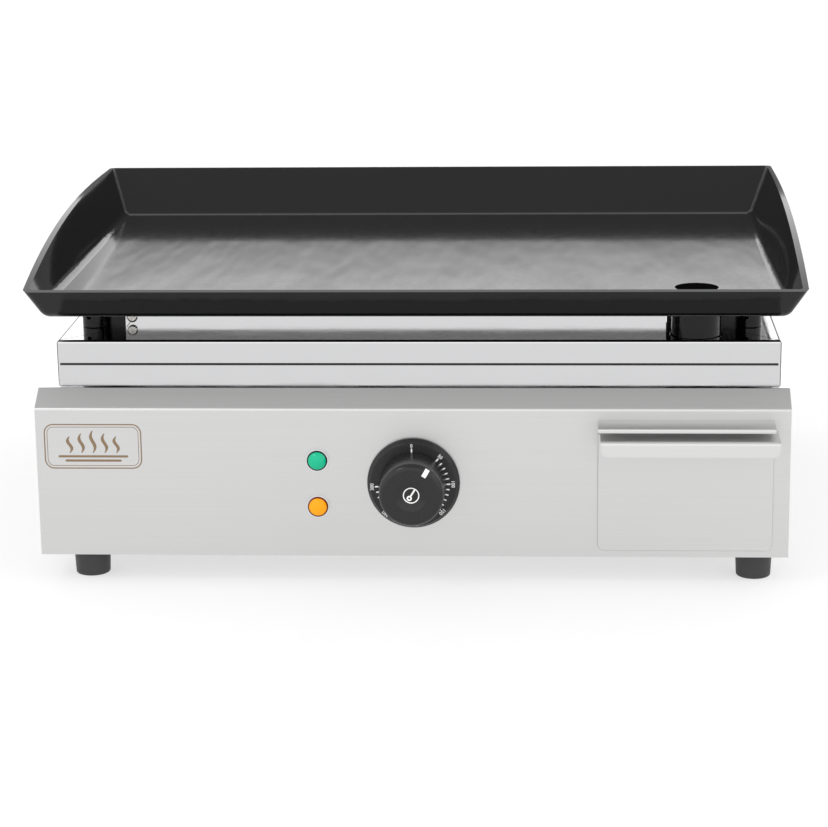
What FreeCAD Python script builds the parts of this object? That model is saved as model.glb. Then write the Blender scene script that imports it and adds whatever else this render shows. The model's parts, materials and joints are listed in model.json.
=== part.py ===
"""Counter-top electric flat top griddle.

Millimetres, +Z up, the front faces -Y.  X = 0 is the middle of the case, Z = 0 is the plane the feet stand
on, and Y = 0 is halfway between the knob's front and the pan's rear rim.  "Depth" below always means the
distance behind the outer face of the front panel.
"""
import FreeCAD
import Part
import math
import os

V = FreeCAD.Vector

# ---------------------------------------------------------------- driving dimensions
CASE_WIDTH = 550.0
CASE_DEPTH = 458.0
SHEET = 1.2                     # case sheet thickness
BEND = 2.4                      # outer bend radius of the case sheet

FOOT_HEIGHT = 20.0
FOOT_RADIUS = 13.6
FOOT_WASHER = 2.0
FOOT_XS = (-242.0, 252.0)       # the right-hand feet stand nearer to their side
FOOT_DEPTHS = (28.0, 420.0)

PANEL_HEIGHT = 111.5
BEVEL_DEPTH = 18.5
BEVEL_RISE = 11.0
PLINTH_DEPTH = 93.5             # plinth's front wall
PLINTH_RISE = 18.5
PLINTH_FLANGE = 46.0
PLINTH_FRONT_FLANGE = 62.0
MITRE_GAP = 1.2
PAN_GAP = 25.2                  # plinth top to pan underside

FLOOR_THICK = 11.0
FLOOR_WIDTH = 550.5
FLOOR_FRONT = 64.6              # depths of the cooking floor's edges
FLOOR_REAR = 433.0
RIM_WALL = (5.2, 3.4)           # thickness at the front and at the rear
RIM_FRONT = 48.8                # depths of the rim's outer edge
RIM_REAR = 479.5
RIM_FRONT_RISE = 10.6           # rim heights above the cooking floor
RIM_REAR_RISE = 34.4
RIM_CROWN = 15.0                # how far the side rims arch above their chord
RIM_CROWN_LEAN = 0.6            # how much of the arch is moved towards the front
RIM_FRONT_WIDTH = 580.6
RIM_REAR_WIDTH = 592.0
PAN_BOTTOM_RADIUS = 10.0
PAN_OUTER_CORNER = 6.0
PAN_INNER_RADIUS = 7.0
PAN_CORNER_RADIUS = 3.0
PAN_FOOT_FRONT = 58.5           # depths of the underside's edges before rounding
PAN_FOOT_REAR = 440.0
PAN_FOOT_MARGIN = 1.75          # how far the underside reaches past the cooking floor at each side

DRAIN_X = 212.0
DRAIN_DEPTH = 116.0
DRAIN_RADIUS = 16.6
DRAIN_TUBE_RADIUS = 18.9
DRAIN_TUBE_END = 107.0          # height of the tube's lower end

LEG_X = 254.5
LEG_DEPTHS = (144.8, 392.0)
LEG_RADIUS = 9.2
STUD_RADIUS = 3.0
STUD_CLEARANCE = 0.2

KNOB_X = 2.0
KNOB_HEIGHT = 56.3              # above the panel's lower edge
KNOB_RADIUS = 24.5
KNOB_PROUD = 36.0
BEZEL_RADIUS = 33.8
BEZEL_FACE_RADIUS = 31.2
BEZEL_THICK = 6.0
SHAFT_RADIUS = 3.0
DISH_RADIUS = 11.5              # hollow in the knob's front
DISH_DEPTH = 2.4
THERMOSTAT_SCREW_X = 14.0       # from the knob's axis
RUNNING_GAP = 0.05

LAMP_X = -68.3
LAMP_HEIGHTS = {"green_lamp_lens": 73.0, "orange_lamp_lens": 38.0}
LAMP_RIM_RADIUS = 8.5
LENS_RADIUS = 7.5
LENS_DOME = 4.0
LAMP_BODY_RADIUS = 5.9

DRAWER_LEFT = 136.0
DRAWER_RIGHT = 263.0
DRAWER_BOTTOM = 27.2
DRAWER_SHELF = 117.0            # top of the pull
DRAWER_DEPTH = 236.0
PULL_PROUD = 30.0
PULL_DROP = 11.2
HOOD_TOP = 125.8
HOOD_PROUD = 22.0
TRAY_TOP = 100.0
TRAY_SHEET = 1.0
DRAWER_GAP = 0.5

SHIELD_LEFT = -231.5
SHIELD_RIGHT = 190.8
SHIELD_REAR = 414.0
SHIELD_SHEET = 0.8
ELEMENT_RADIUS = 4.0
ELEMENT_PITCH = 30.0
ELEMENT_FIRST_ROW = 174.0
CLAMP_XS = (-150.0, -15.0, 120.0)

GLAND_X = -190.0
GLAND_Z = 58.0
LIMITER_X = -70.0
LIMITER_Z = 84.0
EARTH_X = 205.0
EARTH_Z = 48.0
EARTH_FREE = (5.3, 19.3)        # the stud's free end, behind the rear panel
EARTH_SHANK = 2.5               # radius of its clamped part

# ---------------------------------------------------------------- derived places
HALF = CASE_WIDTH / 2
PANEL_Y = (KNOB_PROUD - RIM_REAR) / 2
CASE_BOTTOM = FOOT_HEIGHT + FOOT_WASHER
FOLD_Z = CASE_BOTTOM + PANEL_HEIGHT
DECK_Z = FOLD_Z + BEVEL_RISE
PLINTH_Z = DECK_Z + PLINTH_RISE
PAN_Z = PLINTH_Z + PAN_GAP
FLOOR_Z = PAN_Z + FLOOR_THICK
KNOB_Z = CASE_BOTTOM + KNOB_HEIGHT
SHIELD_FRONT = PLINTH_DEPTH + PLINTH_FRONT_FLANGE - 2.5
ELEMENT_Z = PAN_Z - ELEMENT_RADIUS - 0.05
CLAMP_Z = ELEMENT_Z - ELEMENT_RADIUS - 3.1
BULB_DEPTH = ELEMENT_FIRST_ROW + 3.5 * ELEMENT_PITCH


def behind(depth):
    """Y of a plane that lies `depth` behind the front panel's face."""
    return PANEL_Y + depth


def save(name, *solids):
    """Write one node, a single solid or a group of them."""
    shape = solids[0] if len(solids) == 1 else Part.makeCompound(list(solids))
    shape.exportStep("parts/%s.step" % name)


# ---------------------------------------------------------------- basic shapes
def block(x, depth, z):
    """Box from (low, high) pairs; the middle pair is in depths."""
    return Part.makeBox(x[1] - x[0], depth[1] - depth[0], z[1] - z[0], V(x[0], behind(depth[0]), z[0]))


def post(radius, x, depth, z):
    """Upright cylinder over the height pair z."""
    return Part.makeCylinder(radius, z[1] - z[0], V(x, behind(depth), z[0]), V(0, 0, 1))


def bar(radius, x, depth, z):
    """Cylinder along Y over the depth pair."""
    return Part.makeCylinder(radius, depth[1] - depth[0], V(x, behind(depth[0]), z), V(0, 1, 0))


def prism(corners, direction):
    """Solid swept from a flat closed outline."""
    return Part.Face(Part.makePolygon(corners + corners[:1])).extrude(direction)


def hexagon(across, thick, centre, axis):
    """Hexagonal prism, `across` flats, from the centre of its lower face along the axis."""
    start = V(1, 0, 0) if abs(axis.x) < 0.5 else V(0, 1, 0)
    side = axis.cross(start)
    radius = across / math.sqrt(3)
    corners = []
    for step in range(6):
        turn = math.radians(60 * step)
        corners.append(centre + start * radius * math.cos(turn) + side * radius * math.sin(turn))
    return prism(corners, axis * thick)


def nut(across, thick, bore, centre, axis):
    return hexagon(across, thick, centre, axis).cut(Part.makeCylinder(bore, thick, centre, axis))


def edges_through(shape, points, direction, reach=0.02):
    """Straight edges along `direction` whose line passes through one of the points."""
    found = []
    for edge in shape.Edges:
        ends = [vertex.Point for vertex in edge.Vertexes]
        if len(ends) != 2 or edge.Curve.TypeId != "Part::GeomLine":
            continue
        run = ends[1] - ends[0]
        if run.Length < 1e-6 or run.cross(direction).Length > 1e-4 * run.Length:
            continue
        if any((point - ends[0]).cross(direction).Length < reach for point in points):
            found.append(edge)
    return found


def offset_path(path, distance):
    """Mitred copy of a (depth, z) path, moved to the right of its direction."""
    lines = []
    for (d0, z0), (d1, z1) in zip(path, path[1:]):
        length = math.hypot(d1 - d0, z1 - z0)
        shift = ((z1 - z0) / length * distance, -(d1 - d0) / length * distance)
        lines.append(((d0 + shift[0], z0 + shift[1]), (d1 - d0, z1 - z0)))
    moved = [lines[0][0]]
    for (start, run), (after, turn) in zip(lines, lines[1:]):
        cross = run[0] * turn[1] - run[1] * turn[0]
        along = ((after[0] - start[0]) * turn[1] - (after[1] - start[1]) * turn[0]) / cross
        moved.append((start[0] + run[0] * along, start[1] + run[1] * along))
    start, run = lines[-1]
    moved.append((start[0] + run[0], start[1] + run[1]))
    return moved


def folded_sheet(path, thick, x, bend=BEND):
    """Sheet folded along lines parallel to X.  The path is its outer (depth, z) line."""
    inner = offset_path(path, thick)
    corners = [V(x[0], behind(d), z) for d, z in path + inner[::-1]]
    sheet = prism(corners, V(x[1] - x[0], 0, 0))
    outer_points = [V(x[0], behind(d), z) for d, z in path[1:-1]]
    inner_points = [V(x[0], behind(d), z) for d, z in inner[1:-1]]
    sheet = sheet.makeFillet(bend, edges_through(sheet, outer_points, V(1, 0, 0)))
    return sheet.makeFillet(max(bend - thick, 0.2), edges_through(sheet, inner_points, V(1, 0, 0)))


def bent_tube(route, radius, bend):
    """Round bar along straight runs joined by tangent arcs of one radius."""
    edges = []
    start = route[0]
    for before, corner, after in zip(route, route[1:], route[2:]):
        into = (corner - before).normalize()
        out = (after - corner).normalize()
        half_turn = into.getAngle(out) / 2
        trim = bend * math.tan(half_turn)
        first = corner - into * trim
        last = corner + out * trim
        middle = corner + (out - into).normalize() * bend * (1 / math.cos(half_turn) - 1)
        if (first - start).Length > 1e-3:
            edges.append(Part.LineSegment(start, first).toShape())
        edges.append(Part.Arc(first, middle, last).toShape())
        start = last
    edges.append(Part.LineSegment(start, route[-1]).toShape())
    path = Part.Wire(edges)
    section = Part.Wire(Part.makeCircle(radius, route[0], route[1] - route[0]))
    return path.makePipeShell([section], True, True)


def screw(radius, head_radius, head_height, length, seat, axis):
    """Round-headed screw: the head stands out of `seat` along the axis, the shank goes the other way."""
    shank = Part.makeCylinder(radius, length, seat, axis * -1)
    head = Part.makeCylinder(head_radius, head_height, seat, axis)
    rim = [edge for edge in head.Edges if abs((edge.BoundBox.Center - seat).dot(axis) - head_height) < 1e-3]
    head = head.makeFillet(head_height * 0.6, rim)
    slot = Part.makeCylinder(head_radius * 0.35, head_height, seat + axis * head_height * 0.5, axis)
    return head.fuse(shank).cut(slot)


# ---------------------------------------------------------------- case
CASE_LINE = [(0.0, CASE_BOTTOM), (0.0, FOLD_Z), (BEVEL_DEPTH, DECK_Z)]
DRAWER_HOLE = ((DRAWER_LEFT + 2.5, DRAWER_RIGHT - 2.5), (DRAWER_BOTTOM + 1.5, TRAY_TOP + 4.0))


def front_panel():
    panel = folded_sheet(CASE_LINE, SHEET, (-HALF, HALF))
    (left, right), (low, high) = DRAWER_HOLE
    holes = [block((left, right), (-2, 5), (low, high)), bar(5.2, KNOB_X, (-2, 5), KNOB_Z)]
    holes.append(block((-HALF - 1, HALF + 1), (BEVEL_DEPTH, BEVEL_DEPTH + 5), (FOLD_Z, DECK_Z + 5)))
    for side in (-1, 1):
        holes.append(bar(2.2, KNOB_X + side * THERMOSTAT_SCREW_X, (-2, 5), KNOB_Z))
    for height in LAMP_HEIGHTS.values():
        holes.append(bar(LAMP_BODY_RADIUS + 0.1, LAMP_X, (-2, 5), CASE_BOTTOM + height))
    return panel.cut(holes)


def side_panel(side):
    """Flat side that follows the inside of the front panel and meets the deck from below."""
    inside = offset_path(CASE_LINE + [(CASE_DEPTH, DECK_Z)], SHEET + 0.3)
    outline = inside[:2] + [inside[2], (CASE_DEPTH, DECK_Z - SHEET - 0.1), (CASE_DEPTH, CASE_BOTTOM)]
    corners = [V(side * (HALF - SHEET), behind(d), z) for d, z in outline]
    panel = prism(corners, V(side * SHEET, 0, 0))
    vents = []
    for column in range(6):
        for row in range(3):
            low = CASE_BOTTOM + 30 + row * 16
            depth = 250 + column * 26
            vents.append(block((side * HALF - 3, side * HALF + 3), (depth, depth + 18), (low, low + 3.5)))
    return panel.cut(vents + case_screw_holes())


def rear_panel():
    plate = block((-HALF + SHEET + 0.1, HALF - SHEET - 0.1), (CASE_DEPTH - SHEET, CASE_DEPTH),
                  (CASE_BOTTOM, DECK_Z - SHEET - 0.1))
    holes = [bar(10.1, GLAND_X, (CASE_DEPTH - 5, CASE_DEPTH + 5), GLAND_Z),
             bar(5.1, LIMITER_X, (CASE_DEPTH - 5, CASE_DEPTH + 5), LIMITER_Z),
             bar(EARTH_SHANK + STUD_CLEARANCE, EARTH_X, (CASE_DEPTH - 5, CASE_DEPTH + 5), EARTH_Z)]
    for column in range(9):
        for row in range(4):
            x = -20 + column * 22
            low = CASE_BOTTOM + 48 + row * 14
            holes.append(block((x, x + 15), (CASE_DEPTH - 5, CASE_DEPTH + 5), (low, low + 3.5)))
    return plate.cut(holes + case_screw_holes())


def base_plate():
    """Shallow tray that closes the case from below, its flanges inside the panels."""
    edge = HALF - SHEET - 0.2
    low, high = SHEET + 0.2, CASE_DEPTH - SHEET - 0.2
    tray = block((-edge, edge), (low, high), (CASE_BOTTOM, CASE_BOTTOM + 14))
    tray = tray.cut(block((-edge + SHEET, edge - SHEET), (low + SHEET, high - SHEET),
                          (CASE_BOTTOM + SHEET, CASE_BOTTOM + 20)))
    holes = [block((DRAWER_HOLE[0][0] - 1, DRAWER_HOLE[0][1] + 1), (0, 5),
                   (CASE_BOTTOM + 4, CASE_BOTTOM + 20))]
    for x, depth in foot_places():
        holes.append(post(STUD_RADIUS + STUD_CLEARANCE, x, depth, (0, 60)))
    for column in range(7):
        for row in range(4):
            x = -190 + column * 38
            depth = 120 + row * 60
            holes.append(block((x, x + 26), (depth, depth + 4.5), (0, 60)))
    return tray.cut(holes + case_screw_holes())


def case_screw_places():
    """Seats and outward directions of the screws that hold the side and rear panels to the base."""
    places = []
    for depth in (60, 229, 400):
        for side in (-1, 1):
            places.append((V(side * HALF, behind(depth), CASE_BOTTOM + 8), V(side, 0, 0)))
    for x in (-235, 0, 235):
        places.append((V(x, behind(CASE_DEPTH), CASE_BOTTOM + 8), V(0, 1, 0)))
    return places


def case_screw_holes():
    return [Part.makeCylinder(1.7, 8, seat + axis * 2, axis * -1) for seat, axis in case_screw_places()]


def top_deck():
    """Polished ledge that runs back under the plinth, with a short flange behind the bevel."""
    front = BEVEL_DEPTH + 0.3
    path = [(front, DECK_Z - 9), (front, DECK_Z), (CASE_DEPTH, DECK_Z)]
    deck = folded_sheet(path, SHEET, (-HALF, HALF), 1.6)
    corners = [block((side * HALF - 1.4, side * HALF + 1.4), (0, front + 3), (DECK_Z - 20, DECK_Z - SHEET))
               for side in (-1, 1)]
    holes = [post(DRAIN_TUBE_RADIUS + 1.5, DRAIN_X, DRAIN_DEPTH, (100, 200)), terminal_slot()]
    return deck.cut(corners + holes + stud_holes())


def terminal_slot():
    """Slot at the right of the heat shield, where the heating elements' ends come down."""
    return block((196, 227), (165, 405), (DECK_Z - 5, DECK_Z + 5))


def stud_holes():
    return [post(STUD_RADIUS + STUD_CLEARANCE, x, depth, (100, PLINTH_Z + 5)) for x, depth in leg_places()]


def plinth_strip(start, end, inward, flange):
    """Plinth wall with its top flange.  It runs from start to end; its ends are mitred at 45 degrees."""
    along = (end - start).normalize()
    length = (end - start).Length
    low, top = V(0, 0, DECK_Z), V(0, 0, PLINTH_Z)
    section = [low, top, top + inward * flange, top + inward * flange - V(0, 0, SHEET),
               top + inward * SHEET - V(0, 0, SHEET), low + inward * SHEET]
    strip = prism([start + point for point in section], along * length)
    outer = edges_through(strip, [start + top], along)
    strip = strip.makeFillet(BEND, outer)
    inner = edges_through(strip, [start + top + inward * SHEET - V(0, 0, SHEET)], along)
    strip = strip.makeFillet(BEND - SHEET, inner)
    gap = MITRE_GAP / 2
    reach = PLINTH_FLANGE
    for corner, away in ((start, along), (end, along * -1)):
        tip = corner + away * gap
        wedge = [tip, tip + away * reach + inward * reach, tip + inward * reach * 3 + away * reach,
                 tip + inward * reach * 3 - away * reach, tip - away * reach, tip]
        wedge = [point + V(0, 0, DECK_Z - 5) for point in wedge[:-1]]
        strip = strip.cut(prism(wedge, V(0, 0, 60)))
    return strip


def plinth():
    """The four strips; the sides stop where the front strip's deeper flange begins."""
    front, rear = behind(PLINTH_DEPTH), behind(CASE_DEPTH)
    left_front, right_front = V(-HALF, front, 0), V(HALF, front, 0)
    left_rear, right_rear = V(-HALF, rear, 0), V(HALF, rear, 0)
    strips = {
        "plinth_front": plinth_strip(left_front, right_front, V(0, 1, 0), PLINTH_FRONT_FLANGE),
        "plinth_left": plinth_strip(left_front, left_rear, V(1, 0, 0), PLINTH_FLANGE),
        "plinth_right": plinth_strip(right_front, right_rear, V(-1, 0, 0), PLINTH_FLANGE),
        "plinth_rear": plinth_strip(left_rear, right_rear, V(0, -1, 0), PLINTH_FLANGE),
    }
    drain = post(DRAIN_TUBE_RADIUS + 1.5, DRAIN_X, DRAIN_DEPTH, (100, 200))
    return {name: strip.cut([drain] + stud_holes()) for name, strip in strips.items()}


# ---------------------------------------------------------------- feet
def foot_places():
    return [(x, depth) for depth in FOOT_DEPTHS for x in FOOT_XS]


def foot(x, depth):
    """Rubber foot, slightly tapered, with a deep counterbore for its screw."""
    body = Part.makeCone(FOOT_RADIUS - 0.9, FOOT_RADIUS, FOOT_HEIGHT, V(x, behind(depth), 0))
    lower = [edge for edge in body.Edges if edge.BoundBox.ZMax < 1]
    body = body.makeFillet(1.5, lower)
    return body.cut([post(6.5, x, depth, (-1, 12)), post(STUD_RADIUS + STUD_CLEARANCE, x, depth, (0, 40))])


def foot_washer(x, depth):
    top = CASE_BOTTOM
    cup = post(FOOT_RADIUS + 1.0, x, depth, (FOOT_HEIGHT, top))
    return cup.cut(post(STUD_RADIUS + STUD_CLEARANCE, x, depth, (0, 40)))


def foot_screw(x, depth):
    """Screw from inside the foot, with its thin nut on the base plate, clear of the drawer above."""
    centre = V(x, behind(depth), 0)
    shank = post(STUD_RADIUS, x, depth, (12, CASE_BOTTOM + SHEET + 3.2))
    head = post(5.5, x, depth, (9, 12))
    hexagon_nut = hexagon(10, 3, centre + V(0, 0, CASE_BOTTOM + SHEET), V(0, 0, 1))
    return shank.fuse([head, hexagon_nut])


# ---------------------------------------------------------------- pan
def rim_height(share):
    """Height of the side rim above the cooking floor, from the front (0) to the rear (1)."""
    chord = RIM_FRONT_RISE + (RIM_REAR_RISE - RIM_FRONT_RISE) * share
    lean = 1 + RIM_CROWN_LEAN * (0.5 - share)
    return chord + 4 * RIM_CROWN * lean * share * (1 - share)


def rim_depth(share):
    return RIM_FRONT + (RIM_REAR - RIM_FRONT) * share


def side_rail(side, insets, base_z, base_half, base_depths, stretch):
    """Curve of points carried from a straight base line through the rim and `stretch` times as far."""
    points = []
    for step in range(13):
        share = step / 12
        inset = insets[0] + (insets[1] - insets[0]) * share
        half = (RIM_FRONT_WIDTH + (RIM_REAR_WIDTH - RIM_FRONT_WIDTH) * share) / 2 - inset
        depth = rim_depth(share) + insets[0] * (1 - share) - insets[1] * share
        rim = V(side * half, behind(depth), FLOOR_Z + rim_height(share))
        low = V(side * base_half, behind(base_depths[0] + (base_depths[1] - base_depths[0]) * share), base_z)
        points.append(low + (rim - low) * stretch)
    rail = Part.BSplineCurve()
    rail.interpolate(points)
    return rail.toShape()


def flared_tub(insets, base_z, base_half, base_depths, stretch):
    """Closed solid between a flat rectangular base and two curved side rails."""
    corners = [V(side * base_half, behind(depth), base_z) for side, depth in
               ((-1, base_depths[0]), (-1, base_depths[1]), (1, base_depths[1]), (1, base_depths[0]))]
    left_base = Part.makeLine(corners[0], corners[1])
    right_base = Part.makeLine(corners[3], corners[2])
    left_rail = side_rail(-1, insets, base_z, base_half, base_depths, stretch)
    right_rail = side_rail(1, insets, base_z, base_half, base_depths, stretch)
    ends = [rail.valueAt(rail.FirstParameter) for rail in (left_rail, right_rail)]
    tails = [rail.valueAt(rail.LastParameter) for rail in (left_rail, right_rail)]
    faces = [
        Part.Face(Part.makePolygon(corners + corners[:1])),
        Part.Face(Part.makePolygon([corners[0], ends[0], ends[1], corners[3], corners[0]])),
        Part.Face(Part.makePolygon([corners[1], tails[0], tails[1], corners[2], corners[1]])),
        Part.makeRuledSurface(left_base, left_rail),
        Part.makeRuledSurface(right_base, right_rail),
        Part.makeRuledSurface(left_rail, right_rail),
    ]
    shell = Part.makeShell(faces)
    shell.sewShape()
    solid = Part.Solid(shell)
    solid.fix(0.01, 0.001, 0.05)
    if solid.Volume < 0:
        solid.reverse()
    return solid


def under_rim():
    """Everything below the arched surface that the rim lies in."""
    points = []
    for step in range(-1, 14):
        share = step / 12
        points.append(V(-HALF - 60, behind(rim_depth(share)), FLOOR_Z + rim_height(share)))
    arch = Part.BSplineCurve()
    arch.interpolate(points)
    low_rear = V(points[-1].x, points[-1].y, PAN_Z - 20)
    low_front = V(points[0].x, points[0].y, PAN_Z - 20)
    outline = Part.Wire([arch.toShape(), Part.makeLine(points[-1], low_rear),
                         Part.makeLine(low_rear, low_front), Part.makeLine(low_front, points[0])])
    return Part.Face(outline).extrude(V(CASE_WIDTH + 120, 0, 0))


def long_edges_at(shape, height, reach=0.5):
    """Edges that lie in one level plane."""
    return [edge for edge in shape.Edges
            if abs(edge.BoundBox.ZMin - height) < reach and abs(edge.BoundBox.ZMax - height) < reach]


def corner_edges(shape):
    """The four corner edges that climb between neighbouring walls."""
    return [edge for edge in shape.Edges
            if edge.BoundBox.ZLength > 8 and edge.BoundBox.YLength < 80 and edge.BoundBox.XLength < 40]


def griddle_pan():
    """Cooking floor and splash walls in one casting, with blind holes for the studs underneath."""
    outer_half = FLOOR_WIDTH / 2 + PAN_FOOT_MARGIN
    outer = flared_tub((0.0, 0.0), PAN_Z, outer_half, (PAN_FOOT_FRONT, PAN_FOOT_REAR), 1.25)
    outer = outer.makeFillet(PAN_BOTTOM_RADIUS, long_edges_at(outer, PAN_Z))
    outer = outer.makeFillet(PAN_OUTER_CORNER, corner_edges(outer))
    inner = flared_tub(RIM_WALL, FLOOR_Z, FLOOR_WIDTH / 2, (FLOOR_FRONT, FLOOR_REAR), 1.6)
    inner = inner.makeFillet(PAN_INNER_RADIUS, long_edges_at(inner, FLOOR_Z))
    inner = inner.makeFillet(PAN_CORNER_RADIUS, corner_edges(inner))
    pan = outer.common(under_rim()).cut(inner)
    holes = [post(DRAIN_RADIUS, DRAIN_X, DRAIN_DEPTH, (PAN_Z - 5, FLOOR_Z + 5))]
    for x, depth in leg_places() + clamp_stud_places():
        holes.append(post(STUD_RADIUS + RUNNING_GAP, x, depth, (PAN_Z - 1, PAN_Z + 7)))
    return pan.cut(holes)


def drain_tube():
    tube = post(DRAIN_TUBE_RADIUS, DRAIN_X, DRAIN_DEPTH, (DRAIN_TUBE_END, PAN_Z))
    return tube.cut(post(DRAIN_RADIUS, DRAIN_X, DRAIN_DEPTH, (DRAIN_TUBE_END - 1, PAN_Z + 1)))


def leg_places():
    return [(side * LEG_X, depth) for depth in LEG_DEPTHS for side in (-1, 1)]


def pan_leg(x, depth):
    """Round spacer with a cross hole for the tightening bar."""
    leg = post(LEG_RADIUS, x, depth, (PLINTH_Z, PAN_Z))
    leg = leg.makeChamfer(0.6, [edge for edge in leg.Edges if edge.Curve.TypeId == "Part::GeomCircle"])
    leg = leg.cut(post(STUD_RADIUS + STUD_CLEARANCE, x, depth, (0, 300)))
    return leg.cut(bar(1.8, x - 3.0, (depth - 12, depth + 12), PLINTH_Z + 8.5))


def pan_bracket(side, inner_x):
    """Black angle beside the front legs: an upright plate on a foot that lies on the plinth."""
    near, far = sorted((side * (LEG_X + 8), inner_x))
    upright = block((near, far), (SHIELD_FRONT + 2.5, SHIELD_FRONT + 5.5), (PLINTH_Z, PAN_Z - 0.3))
    near, far = sorted((side * (LEG_X + 8), side * (LEG_X - 21.5)))
    return upright.fuse(block((near, far), (SHIELD_FRONT + 5.5, SHIELD_FRONT + 30), (PLINTH_Z, PLINTH_Z + 3)))


# ---------------------------------------------------------------- heating
def element_rows(first):
    return [ELEMENT_FIRST_ROW + ELEMENT_PITCH * (first + row) for row in range(4)]


def heating_element(first):
    """Tubular element: four runs under the pan, both ends turned down through the terminal slot."""
    left, right, ends = -208.0, 168.0, 211.0
    rows = element_rows(first)
    route = [(ends, rows[0], DECK_Z - 12), (ends, rows[0], ELEMENT_Z)]
    route += [(left, rows[0], ELEMENT_Z), (left, rows[1], ELEMENT_Z), (right, rows[1], ELEMENT_Z)]
    route += [(right, rows[2], ELEMENT_Z), (left, rows[2], ELEMENT_Z), (left, rows[3], ELEMENT_Z)]
    route += [(ends, rows[3], ELEMENT_Z), (ends, rows[3], DECK_Z - 12)]
    points = [V(x, behind(depth), z) for x, depth, z in route]
    tube = bent_tube(points, ELEMENT_RADIUS, ELEMENT_PITCH / 2 - 0.5)
    pins = [post(2.0, ends, depth, (DECK_Z - 24, DECK_Z - 11)) for depth in (rows[0], rows[3])]
    return tube.fuse(pins)



def clamp_stud_places():
    return [(x, ELEMENT_FIRST_ROW + ELEMENT_PITCH * row) for x in CLAMP_XS for row in (1.5, 5.5)]


def element_clamp(x):
    """Flat bar that presses the elements up against the pan."""
    plate = block((x - 10, x + 10), (ELEMENT_FIRST_ROW - 10, ELEMENT_FIRST_ROW + 7 * ELEMENT_PITCH + 10),
                  (CLAMP_Z, CLAMP_Z + 3))
    holes = [post(STUD_RADIUS + STUD_CLEARANCE, sx, depth, (100, 300)) for sx, depth in clamp_stud_places()]
    return plate.cut(holes)


def heat_shield():
    """Polished open tray under the elements, lower at its right side to let their ends out."""
    inner_front = SHIELD_FRONT + SHIELD_SHEET
    tray = block((SHIELD_LEFT, SHIELD_RIGHT), (SHIELD_FRONT, SHIELD_REAR), (PLINTH_Z, PAN_Z - 3))
    tray = tray.cut(block((SHIELD_LEFT + SHIELD_SHEET, SHIELD_RIGHT - SHIELD_SHEET),
                          (inner_front, SHIELD_REAR - SHIELD_SHEET), (PLINTH_Z + SHIELD_SHEET, PAN_Z)))
    notch = block((SHIELD_RIGHT - 3, SHIELD_RIGHT + 3), (inner_front + 6, SHIELD_REAR - 6),
                  (PLINTH_Z + 10, PAN_Z))
    holes = [Part.makeCylinder(2.1, 4, seat + axis * 2, axis * -1) for seat, axis in shield_screw_places()]
    return tray.cut([notch] + holes)


def shield_screw_places():
    z = PLINTH_Z + 5.2
    return [(V(SHIELD_LEFT + 5.5, behind(SHIELD_FRONT), z), V(0, -1, 0)),
            (V(SHIELD_LEFT + 5.5, behind(SHIELD_REAR), z), V(0, 1, 0)),
            (V(SHIELD_RIGHT - 12, behind(SHIELD_REAR), z), V(0, 1, 0))]


def insulation_pad():
    pad = block((SHIELD_LEFT + 14, SHIELD_RIGHT - 4), (SHIELD_FRONT + 12, SHIELD_REAR - 12),
                (PLINTH_Z + SHIELD_SHEET, PLINTH_Z + 7))
    return pad.makeFillet(2.0, [edge for edge in pad.Edges if edge.BoundBox.ZMin > PLINTH_Z + 5])


# ---------------------------------------------------------------- thermostat

def thermostat_body():
    """Cased switch with a round bush in the panel; its bore carries the shaft."""
    case = block((KNOB_X - 22, KNOB_X + 22), (SHEET, SHEET + 26), (KNOB_Z - 19, KNOB_Z + 19))
    case = case.makeFillet(2.0, [edge for edge in case.Edges if edge.BoundBox.YLength > 20])
    bush = bar(5.0, KNOB_X, (-1.0, SHEET + 1), KNOB_Z)
    tabs = [block((KNOB_X - 18 + 30 * i, KNOB_X - 12 + 30 * i), (SHEET + 26, SHEET + 34),
                  (KNOB_Z + low, KNOB_Z + low + 0.8)) for i in (0, 1) for low in (-10, 9)]
    cap = bar(6.0, KNOB_X, (SHEET + 26, SHEET + 30), KNOB_Z)
    body = case.fuse([bush, cap] + tabs)
    bores = [bar(SHAFT_RADIUS + RUNNING_GAP, KNOB_X, (-5, SHEET + 22), KNOB_Z)]
    bores += [bar(2.05, KNOB_X + side * THERMOSTAT_SCREW_X, (0, 12), KNOB_Z) for side in (-1, 1)]
    return body.cut(bores)


def thermostat_shaft():
    """Shaft with a flat at its outer end."""
    shaft = bar(SHAFT_RADIUS, KNOB_X, (-26, SHEET + 21), KNOB_Z)
    flat = block((KNOB_X - 5, KNOB_X + 5), (-27, -10), (KNOB_Z + 1.8, KNOB_Z + 5))
    return shaft.cut(flat)


def dial_bezel():
    """Shallow round cover with a sloped edge, hollow behind so that it clears the screw heads."""
    outline = [(0, 7.0), (0, BEZEL_RADIUS), (2.2, BEZEL_RADIUS), (BEZEL_THICK, BEZEL_FACE_RADIUS),
               (BEZEL_THICK, 7.0)]
    cavity_top = BEZEL_THICK - 1.8
    cavity = revolved([(-0.1, 0.0), (-0.1, BEZEL_RADIUS - 3.8), (cavity_top, BEZEL_FACE_RADIUS - 2.6),
                       (cavity_top, 0.0)])
    cover = revolved(outline).cut(cavity)
    edge = [e for e in cover.Edges if e.Curve.TypeId == "Part::GeomCircle" and
            abs(e.Curve.Radius - BEZEL_FACE_RADIUS) < 0.01]
    return cover.makeFillet(0.6, edge)


def revolved(outline):
    """Turned shape on the knob's axis from (distance out of the panel, radius) pairs."""
    corners = [V(KNOB_X + radius, behind(-out), KNOB_Z) for out, radius in outline]
    face = Part.Face(Part.makePolygon(corners + corners[:1]))
    return face.revolve(V(KNOB_X, 0, KNOB_Z), V(0, 1, 0), 360)


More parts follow.
